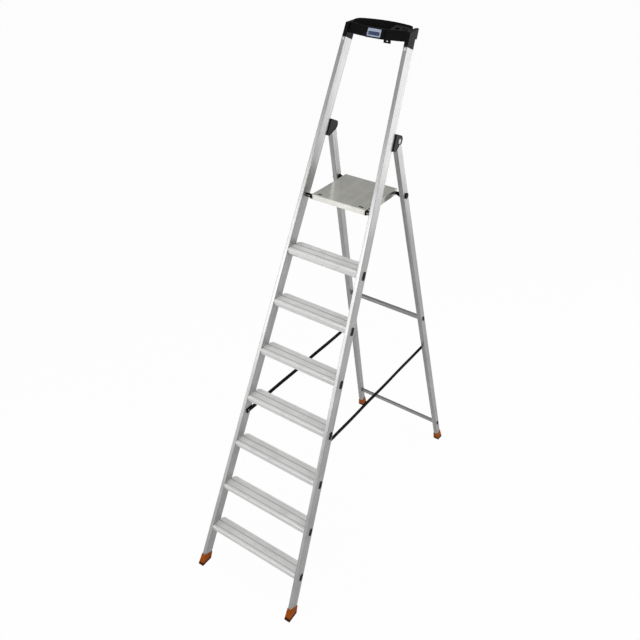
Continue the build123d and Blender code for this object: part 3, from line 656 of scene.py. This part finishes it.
def rayKinds(wire):
    # what is seen directly or through something clear, and what is seen in a shiny surface
    direct = wire.node("ShaderNodeLightPath", out="Is Camera Ray")
    return direct + direct.other("Is Transmission Ray"), direct.other("Is Glossy Ray")


white = (1.0, 1.0, 1.0)

# Floor: white to the camera, with a painted shade near the feet where metal mirrors it
floorLook = {
    "radius": 30.0,
    "edges": 96,
    "drop": 0.0005,
    "matt": (0.86, 0.86, 0.86),
    "whiteness": 0.97,
    "mirrored": (0.35, 1.0),     # share of that whiteness seen in metal, near and far
    "fade": (0.3, 2.7),
}


def makeFloor(look):
    finish = bpy.data.materials.new("whiteFloor")
    wire = bareTree(finish)
    matt = wire.node("ShaderNodeBsdfDiffuse", {}, {"Color": look["matt"]})
    bright = wire.node("ShaderNodeEmission", {}, {"Color": white, "Strength": 1.0})
    direct, mirrored = rayKinds(wire)
    distance = wire.node("ShaderNodeVectorMath", {"operation": "LENGTH"}, {0: wire.place()}, out="Value")
    # painted shade: the floor seen in metal is greyer close to the ladder
    share = spread(look["mirrored"], distance.between(*look["fade"]))
    whiteness = look["whiteness"] * (direct + mirrored * share)
    endTree(wire, "ShaderNodeOutputMaterial", mixShaders(whiteness, matt, bright))
    bm = bmesh.new()
    bmesh.ops.create_circle(bm, cap_ends=True, segments=look["edges"], radius=look["radius"])
    bmesh.ops.translate(bm, verts=bm.verts[:], vec=(0, 0, -look["drop"]))
    floor = meshPiece("studioFloor", bm, finish)


makeFloor(floorLook)


# World: white to the camera, a pale ceiling and right-hand wall in shiny surfaces, dim as a light
skyLook = {
    "low": 0.35,
    "high": 0.95,
    "ceiling": (0.45, 0.68),     # where the ceiling begins, as a share of straight up
    "wall": (0.2, 0.5),
    "ambient": 0.25,
}


def makeWorld(look):
    world = bpy.data.worlds.new("whiteStudio")
    scene.world = world
    wire = bareTree(world)
    rightward, _, upward = wire.node("ShaderNodeTexCoord", out="Generated").axes()
    ceiling = upward.between(*look["ceiling"])
    wall = rightward.between(*look["wall"])
    direct, mirrored = rayKinds(wire)

    def glow(strength):
        return wire.node("ShaderNodeBackground", {}, {"Color": white, "Strength": strength})

    low, high = look["low"], look["high"]
    soft = mixShaders(ceiling, glow(look["ambient"] * low), glow(look["ambient"] * high))
    shiny = mixShaders(ceiling + wall - ceiling * wall, glow(low), glow(high))
    seen = mixShaders(direct, mixShaders(mirrored, soft, shiny), glow(1.0))
    endTree(wire, "ShaderNodeOutputWorld", seen)


makeWorld(skyLook)


# Lamps. The treads and the deck have a wider front lamp of their own, so that they do not glare.
deckOnly = nodeFinish["deck"]
steppedOn = nodeFinish["tread"] + deckOnly
lamps = {
    "frontSoftbox": {
        "place": (-2.1, -4.1, 2.2), "aim": (0.0, -0.1, 1.5), "size": (2.4, 2.3), "power": 74.0,
        "receivers": (steppedOn, "EXCLUDE"),
    },
    "stepSoftbox": {
        "place": (-2.1, -4.1, 2.6), "aim": (0.0, -0.1, 1.5), "size": (6.0, 4.4), "power": 80.0,
        "receivers": (steppedOn, "INCLUDE"),
    },
    "lowSoftbox": {
        "place": (-1.6, -2.5, 0.35), "aim": (0.0, 0.0, 1.6), "size": (1.7, 0.7), "power": 3.0,
    },
    "topSoftbox": {
        "place": (0.0, 0.2, 5.4), "aim": (0.0, 0.2, 1.0), "size": (3.0, 3.0), "power": 100.0,
    },
    "sideSoftbox": {
        "place": (2.2, 0.9, 2.6), "aim": (0.1, 0.0, 1.6), "size": (3.4, 2.6), "power": 34.0,
        "receivers": (deckOnly, "EXCLUDE"),
    },
    "rearSoftbox": {
        "place": (2.2, 3.8, 1.1), "aim": (0.2, 0.1, 2.2), "size": (2.4, 1.9), "power": 24.0,
    },
}


def makeLamp(name, plan):
    light = bpy.data.lights.new(name, "AREA")
    light.shape = "RECTANGLE"
    light.size, light.size_y = plan["size"]
    light.energy = plan["power"]
    lamp = bpy.data.objects.new(name, light)
    lamp.location = plan["place"]
    beam = Vector(plan["aim"]) - Vector(plan["place"])
    lamp.rotation_euler = beam.to_track_quat("-Z", "Y").to_euler()
    scene.collection.objects.link(lamp)
    if "receivers" in plan:
        nodeNames, state = plan["receivers"]
        receivers = bpy.data.collections.new(f"{name}Receivers")
        for nodeName in nodeNames:
            receivers.objects.link(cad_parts[nodeName])
        lamp.light_linking.receiver_collection = receivers
        for entry in receivers.collection_objects:
            entry.light_linking.link_state = state


for lampName, lampPlan in lamps.items():
    makeLamp(lampName, lampPlan)
scene.view_settings.view_transform = "Standard"
print("studio set")
